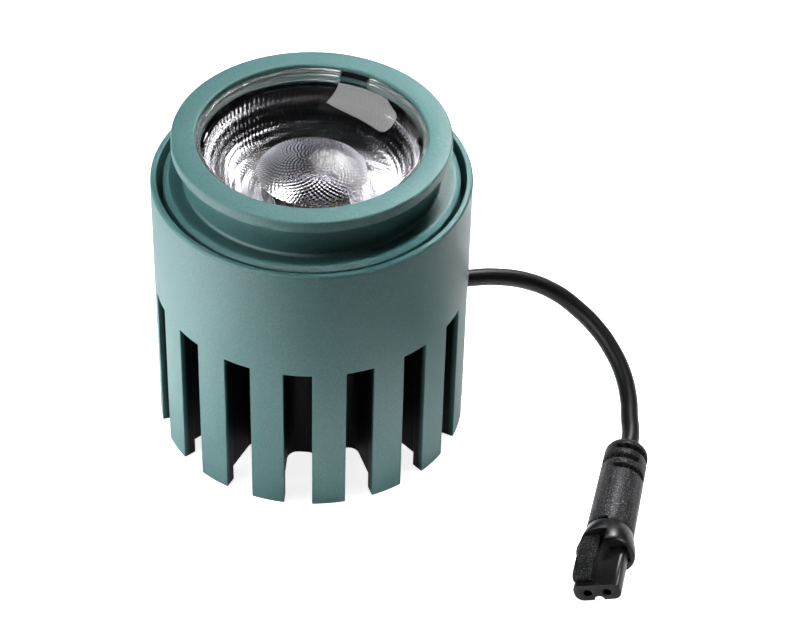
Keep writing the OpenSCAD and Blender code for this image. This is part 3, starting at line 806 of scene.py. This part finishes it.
@dataclass
class Housing:
    """The slotted sleeve, the lens barrel and the channelled core."""

    sleeve_r: float = 35.0
    bar_r: float = 32.0
    rim_r: float = 33.6
    rim_chamfer: float = 0.4
    rim_z: float = 66.4
    seat_z: float = 44.0
    slot_count: int = 16
    slot_w: float = 6.2
    slot_h: float = 38.6
    slot_steps: int = 3
    bar_steps: int = 8
    join_gap: float = 0.01
    # Faces that face outwards less than this, on the bars, take the painted shade.
    shade_facing: float = 0.7
    edge: float = 0.2
    barrel: tuple[tuple[float, float], ...] = (
        (27.3, 47.0), (32.3, 47.0), (32.3, 65.6), (31.1, 66.1), (28.1, 66.1), (27.6, 66.6), (27.6, 74.5),
        (30.25, 74.5), (30.25, 76.8), (29.95, 77.1), (25.3, 77.1), (25.0, 76.8), (25.0, 76.05),
        (25.6, 76.05), (25.6, 74.65), (25.0, 74.65), (25.0, 72.2), (23.6, 72.2), (23.6, 65.6), (27.3, 61.9))
    skirt_r: float = 27.4
    neck_r: float = 26.6
    bore_r: float = 25.02
    lens_z: float = 73.4
    # Heights of the ring's groove, which is painted black as shade.
    groove_z: Span = (74.5, 76.2)
    bore_facing: float = 0.1
    barrel_edge: float = 0.16
    barrel_steps: int = 288

    def build(self) -> None:
        """Makes sleeve and barrel, and dresses the core and its screws."""
        self.build_sleeve()
        self.build_barrel()
        # The core's black is partly painted shade, which keeps the depths of the slots dark.
        dress_node("heat_sink_core", Skin.BLACK_ANODISED_AND_SHADE)
        dress_node("barrel_screws", Skin.STEEL)

    def bar_sector(self) -> tuple[list[Point], Faces]:
        """One bar with the wall above it, from the middle of a slot to the middle of the next.

        Returns:
            Points and faces of the sector, with the bar's middle on the X axis.
        """
        half_pitch = math.pi / self.slot_count
        top = [(self.sleeve_r, self.slot_h), (self.sleeve_r, self.rim_z - self.rim_chamfer),
               (self.sleeve_r - self.rim_chamfer, self.rim_z), (self.rim_r, self.rim_z),
               (self.rim_r, self.seat_z), (self.bar_r, self.seat_z), (self.bar_r, self.slot_h)]
        foot = [(self.bar_r, 0.0), (self.sleeve_r, 0.0)]
        bar_start, bar_end = self.slot_steps, self.slot_steps + self.bar_steps
        columns = bar_end + self.slot_steps
        points, faces = [], []
        for c in range(columns + 1):
            for r, z in top + foot:
                edge = half_pitch - math.asin(self.slot_w / 2 / r)
                if c < bar_start:
                    a = -half_pitch + (half_pitch - edge) * c / self.slot_steps
                elif c > bar_end:
                    a = half_pitch - (half_pitch - edge) * (columns - c) / self.slot_steps
                else:
                    a = -edge + 2 * edge * (c - bar_start) / self.bar_steps
                points.append((r * math.cos(a), r * math.sin(a), z))
        size = len(top) + len(foot)
        for c in range(columns):
            loop = list(range(size if bar_start <= c < bar_end else len(top)))
            for k, after in zip(loop, loop[1:] + loop[:1]):
                faces.append((c * size + k, (c + 1) * size + k, (c + 1) * size + after, c * size + after))
        side = [*range(len(top) - 1, size), 0]
        faces.append(tuple(bar_start * size + k for k in side))
        faces.append(tuple(bar_end * size + k for k in reversed(side)))
        return points, faces

    def repeat_tree(self) -> Tree:
        """Geometry node tree that sets copies of a sector round the axis and joins them.

        Returns:
            The tree.
        """
        tree, start, end = new_tree("sectors_round_axis", {
            "Count": "NodeSocketInt", "First turn": "NodeSocketFloat", "Material": "NodeSocketMaterial"})
        ports = start.outputs
        spots = add_node(tree, "GeometryNodePoints", {"Count": ports["Count"]})
        index = add_node(tree, "GeometryNodeInputIndex").outputs[0]
        step = add_node(tree, "ShaderNodeMath", {0: math.tau, 1: ports["Count"]}, operation="DIVIDE")
        turn = add_node(tree, "ShaderNodeMath", {0: index, 1: step.outputs[0], 2: ports["First turn"]},
                        operation="MULTIPLY_ADD")
        spin = add_node(tree, "ShaderNodeCombineXYZ", {"Z": turn.outputs[0]})
        copies = add_node(tree, "GeometryNodeInstanceOnPoints", {
            "Points": spots.outputs[0], "Instance": ports["Geometry"], "Rotation": spin.outputs[0]})
        real = add_node(tree, "GeometryNodeRealizeInstances", {"Geometry": copies.outputs[0]})
        joined = add_node(tree, "GeometryNodeMergeByDistance", {
            "Geometry": real.outputs[0], "Distance": self.join_gap * MM})
        worn = add_node(tree, "GeometryNodeSetMaterial", {
            "Geometry": joined.outputs[0], "Material": ports["Material"]})
        wire(tree, end, {"Geometry": worn.outputs[0]})
        return tree

    def build_sleeve(self) -> None:
        """Makes the sleeve from equal sectors and softens its edges."""
        sleeve = new_object("sleeve_coated", *self.bar_sector())
        run_tree(sleeve, self.repeat_tree(), {
            "Count": self.slot_count, "First turn": math.pi / self.slot_count,
            "Material": Skin.TEAL.value.material()})
        # The bars' sides and inner faces take the coat with painted shade.
        dress_faces(sleeve, (Skin.TEAL, Skin.TEAL_PAINTED_SHADE), self.on_bar_side)
        soften(sleeve, self.edge)
        show(sleeve, "teal_powder_coat", "heat_sink_sleeve")

    def on_bar_side(self, at: Vector, out: float) -> bool:
        """Tells whether a face of the sleeve is on a bar and doesn't face outwards, and so takes the painted
        shade.
        """
        return at.z < self.seat_z and out < self.shade_facing

    def in_black_or_groove_shade(self, at: Vector, out: float) -> bool:
        """Tells whether a face of the barrel lies below the lens or in the ring's groove.

        Args:
            at: Centre of the face in millimetres.
            out: How far the face looks away from the axis.

        Returns:
            Whether it takes the black: black inside below the lens, and painted shade in the ring's groove.
        """
        reach = math.hypot(at.x, at.y)
        below = reach < self.skirt_r and at.z < self.lens_z and out < self.bore_facing
        return below or self.bore_r < reach < self.neck_r and self.groove_z[0] < at.z < self.groove_z[1]

    def build_barrel(self) -> None:
        """Makes the barrel as one turned ring, coated outside and black inside, with painted shade in its
        ring groove.
        """
        profile = rounded(list(self.barrel), self.barrel_edge)
        points, faces = lathe(profile, self.barrel_steps)
        barrel = new_object("barrel_coated", points, faces)
        dress_faces(barrel, (Skin.TEAL, Skin.BLACK_ANODISED_AND_SHADE), self.in_black_or_groove_shade)
        smooth(barrel)
        show(barrel, "teal_powder_coat", "lens_barrel")


@dataclass
class Optic:
    """The clear lens with its dotted dome and bowl, and the split ring that holds it."""

    dome_r: float = 12.05
    dome_h: float = 3.7
    floor_r: float = 17.8
    floor_z: float = 66.95
    bowl_r: float = 24.0
    top_z: float = 73.45
    rim_r: float = 24.9
    seat_z: float = 72.2
    flank_r: float = 23.5
    foot_r: float = 8.5
    foot_z: float = 49.8
    cavity_r: float = 6.0
    cavity_h: float = 6.4
    wall_power: float = 1.9
    flank_power: float = 2.2
    disc_sectors: int = 6
    dome_rings: int = 80
    floor_rings: int = 38
    wall_rows: int = 18
    facet_rows: int = 9
    facet_steps: int = 4
    facet_columns: int = 118
    dot_pitch: float = 0.82
    dot_r: float = 0.39
    dot_h: float = 0.085
    floor_share: float = 0.4
    facet_depth: float = 0.12
    ring_edge: float = 0.12
    # Steps of the lens texture: name, operation and terms, which are steps, inputs of the tree or numbers.
    spiral_steps: tuple[tuple, ...] = (
        ("half", "ADD", "index", 0.5), ("root", "SQRT", "half"), ("reach", "MULTIPLY", "root", "Dot spread"),
        ("angle", "MULTIPLY", "index", GOLDEN_ANGLE), ("cosine", "COSINE", "angle"),
        ("sine", "SINE", "angle"), ("spot x", "MULTIPLY", "reach", "cosine"),
        ("spot y", "MULTIPLY", "reach", "sine"))
    relief_steps: tuple[tuple, ...] = (
        ("share", "DIVIDE", "near", "Dot radius"), ("square", "MULTIPLY", "share", "share"),
        ("cap", "SUBTRACT", 1.0, "square"), ("dome", "MAXIMUM", "cap", 0.0),
        ("rise", "MULTIPLY", "dome", "Dot height"), ("raised", "MULTIPLY", "rise", "dots"),
        ("above", "SUBTRACT", "z", "Facet base"), ("row", "DIVIDE", "above", "Facet row height"),
        ("floor", "FLOOR", "row"), ("odd", "MODULO", "floor", 2.0), ("stagger", "MULTIPLY", "odd", 0.5),
        ("bearing", "ARCTAN2", "y", "x"), ("turn", "DIVIDE", "bearing", math.tau),
        ("place", "MULTIPLY_ADD", "turn", "Facet columns", "stagger"),
        ("phase", "MULTIPLY", "place", math.pi), ("wave", "SINE", "phase"), ("across", "ABSOLUTE", "wave"),
        ("climb", "MULTIPLY", "row", math.pi), ("swell", "SINE", "climb"), ("along", "ABSOLUTE", "swell"),
        ("pillow", "MULTIPLY", "across", "along"), ("hollow", "SUBTRACT", "pillow", 1.0),
        ("dip", "MULTIPLY", "hollow", "Facet depth"), ("sunk", "MULTIPLY", "dip", "facets"),
        ("lift", "ADD", "raised", "sunk"))

    def front_height(self, r: float) -> float:
        """Height of the dome, floor or bowl wall at a radius.

        Args:
            r: Radius in millimetres.

        Returns:
            Height in millimetres.
        """
        if r <= self.dome_r:
            ball = (self.dome_r ** 2 + self.dome_h ** 2) / (2 * self.dome_h)
            return self.floor_z + self.dome_h - ball + math.sqrt(ball ** 2 - r ** 2)
        share = max(0.0, (r - self.floor_r) / (self.bowl_r - self.floor_r))
        return self.floor_z + (self.top_z - self.floor_z) * share ** self.wall_power

    def ring_radius(self, k: int) -> float:
        """Radius of ring k of the front disc.

        Args:
            k: Number of the ring, from 1 at the middle.

        Returns:
            Radius in millimetres, in even steps over the dome and in even steps over the floor.
        """
        over = k - self.dome_rings
        if over <= 0:
            return self.dome_r * k / self.dome_rings
        return self.dome_r + (self.floor_r - self.dome_r) * over / self.floor_rings

    def dot_share(self, k: int) -> float:
        """Share of the dots' height that ring k of the front disc takes.

        Args:
            k: Number of the ring, from 1 at the middle.

        Returns:
            Nothing on the edges of dome and floor, less on the floor, and all of it on the dome.
        """
        if k in (self.dome_rings, self.dome_rings + self.floor_rings):
            return 0.0
        return self.floor_share if k > self.dome_rings else 1.0

    def front_disc(self) -> tuple[list[Point], Faces, list[float]]:
        """The dome and the floor, as a disc of even triangles in equal sectors.

        Returns:
            Points, faces, and for each point its share of the dots.
        """
        sectors, rings = self.disc_sectors, range(1, self.dome_rings + self.floor_rings + 1)
        points: list[Point] = [(0.0, 0.0, self.front_height(0.0))]
        dots, faces, first = [1.0], [], [0]
        for k in rings:
            first.append(len(points))
            r = self.ring_radius(k)
            points += circle(r, self.front_height(r), sectors * k)
            dots += [self.dot_share(k)] * (sectors * k)
        for k in rings:
            inner_size, outer_size = max(1, sectors * (k - 1)), sectors * k
            for s in range(sectors):
                for j in range(k):
                    a = first[k] + (s * k + j) % outer_size
                    b = first[k] + (s * k + j + 1) % outer_size
                    c = first[k - 1] + (s * (k - 1) + j) % inner_size
                    faces.append((c, a, b))
                    if j < k - 1:
                        d = first[k - 1] + (s * (k - 1) + j + 1) % inner_size
                        faces.append((c, b, d))
        return points, faces, dots

    def side_rows(self) -> list[Point]:
        """The rings below the disc, along the bowl wall, the rim, the flank and the cavity.

        Returns:
            Radius, height and share of the facets of each ring.
        """
        rows: list[Point] = []
        for i in range(1, self.wall_rows + 1):
            r = self.floor_r + (self.bowl_r - self.floor_r) * i / self.wall_rows
            rows.append((r, self.front_height(r), 0.0))
        rows += [(self.rim_r, self.top_z, 0.0), (self.rim_r, self.seat_z, 0.0),
                 (self.flank_r, self.seat_z, 0.0)]
        steps = self.facet_rows * self.facet_steps
        for i in range(steps - 1, -1, -1):
            t = i / steps
            rows.append((self.foot_r + (self.flank_r - self.foot_r) * (1 - (1 - t) ** self.flank_power),
                         self.foot_z + (self.seat_z - self.foot_z) * t, 1.0 if i else 0.0))
        return rows + [(self.cavity_r, self.foot_z, 0.0),
                       (self.cavity_r, self.foot_z + self.cavity_h, 0.0)]

    def blank(self) -> tuple[list[Point], Faces, list[float], list[float]]:
        """The smooth lens: the disc in front, then rings down to the cavity's roof.

        Returns:
            Points, faces, and for each point its share of the dots and of the flank's facets.
        """
        points, faces, dots = self.front_disc()
        facets = [0.0] * len(points)
        size = self.disc_sectors * (self.dome_rings + self.floor_rings)
        start = len(points) - size
        for r, z, facet in self.side_rows():
            here = len(points)
            points += circle(r, z, size)
            dots += [0.0] * size
            facets += [facet] * size
            faces += [(start + j, here + j, here + (j + 1) % size, start + (j + 1) % size)
                      for j in range(size)]
            start = here
        points.append((0.0, 0.0, self.foot_z + self.cavity_h))
        dots.append(0.0)
        facets.append(0.0)
        faces += [(start + j, len(points) - 1, start + (j + 1) % size) for j in range(size)]
        return points, faces, dots, facets

    def texture_tree(self) -> Tree:
        """Geometry node tree that raises the spiral of small lenses in front and the facets on the flank.

        Returns:
            The tree.
        """
        tree, start, end = new_tree("lens_texture", {
            "Dot count": "NodeSocketInt", "Dot spread": "NodeSocketFloat", "Dot radius": "NodeSocketFloat",
            "Dot height": "NodeSocketFloat", "Facet columns": "NodeSocketFloat",
            "Facet row height": "NodeSocketFloat", "Facet base": "NodeSocketFloat",
            "Facet depth": "NodeSocketFloat", "Material": "NodeSocketMaterial"})
        ports = start.outputs
        values: dict[str, object] = {name: ports[name] for name in ports.keys() if name}
        values["index"] = add_node(tree, "GeometryNodeInputIndex").outputs[0]
        for name, operation, *terms in self.spiral_steps:
            values[name] = add_node(tree, "ShaderNodeMath", {
                i: values.get(t, t) for i, t in enumerate(terms)}, operation=operation).outputs[0]
        spot = add_node(tree, "ShaderNodeCombineXYZ", {"X": values["spot x"], "Y": values["spot y"]})
        spiral = add_node(tree, "GeometryNodePoints", {
            "Count": ports["Dot count"], "Position": spot.outputs[0]})
        place = add_node(tree, "GeometryNodeInputPosition").outputs[0]
        axes = add_node(tree, "ShaderNodeSeparateXYZ", {0: place}).outputs
        flat = add_node(tree, "ShaderNodeCombineXYZ", {"X": axes["X"], "Y": axes["Y"]})
        near = add_node(tree, "GeometryNodeProximity", {
            0: spiral.outputs[0], "Sample Position": flat.outputs[0]}, target_element="POINTS")
        values.update(x=axes["X"], y=axes["Y"], z=axes["Z"], near=near.outputs["Distance"])
        for name in ("dots", "facets"):
            values[name] = add_node(tree, "GeometryNodeInputNamedAttribute", {"Name": name},
                                    data_type="FLOAT").outputs[0]
        for name, operation, *terms in self.relief_steps:
            values[name] = add_node(tree, "ShaderNodeMath", {
                i: values.get(t, t) for i, t in enumerate(terms)}, operation=operation).outputs[0]
        normal = add_node(tree, "GeometryNodeInputNormal").outputs[0]
        shift = add_node(tree, "ShaderNodeVectorMath", {0: normal, "Scale": values["lift"]},
                         operation="SCALE")
        moved = add_node(tree, "GeometryNodeSetPosition", {
            "Geometry": ports["Geometry"], "Offset": shift.outputs[0]})
        real = add_node(tree, "GeometryNodeRealizeInstances", {"Geometry": moved.outputs[0]})
        worn = add_node(tree, "GeometryNodeSetMaterial", {
            "Geometry": real.outputs[0], "Material": ports["Material"]})
        wire(tree, end, {"Geometry": worn.outputs[0]})
        return tree

    def build(self) -> None:
        """Makes the lens and the split ring."""
        points, faces, dots, facets = self.blank()
        lens = new_object("lens_clear", points, faces)
        for name, values in (("dots", dots), ("facets", facets)):
            lens.data.attributes.new(name, "FLOAT", "POINT").data.foreach_set("value", values)
        spread = self.dot_pitch * math.sqrt(HEX_ROOM / math.pi)
        run_tree(lens, self.texture_tree(), {
            "Dot count": int((self.floor_r / spread) ** 2), "Dot spread": spread * MM,
            "Dot radius": self.dot_r * MM, "Dot height": self.dot_h * MM,
            "Facet columns": float(self.facet_columns),
            "Facet row height": (self.seat_z - self.foot_z) / self.facet_rows * MM,
            "Facet base": self.foot_z * MM, "Facet depth": self.facet_depth * MM,
            "Material": Skin.LENS.value.material()})
        smooth(lens)
        show(lens, "clear_acrylic", "tir_lens")
        ring = softened_copy("lens_retaining_ring", "ring_frosted", Skin.CLIP, self.ring_edge)
        show(ring, "frosted_clip", "lens_retaining_ring")


@dataclass
class LightSource:
    """The light source, its holder and wires under the lens."""

    skins: dict[str, Skin] = field(default_factory=lambda: {
        "cob_substrate": Skin.CERAMIC, "cob_phosphor": Skin.PHOSPHOR, "cob_holder": Skin.HOLDER,
        "holder_contacts": Skin.BRASS, "holder_screws": Skin.STEEL, "thermal_pad": Skin.HEAT_PAD,
        "cable_grommet": Skin.RUBBER, "lead_wire_red": Skin.WIRE_RED, "lead_wire_black": Skin.WIRE_BLACK})

    def build(self) -> None:
        """Dresses the nodes under the lens."""
        for node, skin in self.skins.items():
            dress_node(node, skin)


def main() -> None:
    """Builds the studio, the lead and the sub-assemblies in order."""
    logging.basicConfig(level=logging.INFO)
    for part in (Studio(), Plug(), Lead(), Housing(), Optic(), LightSource()):
        part.build()


if __name__ == "__main__":
    main()
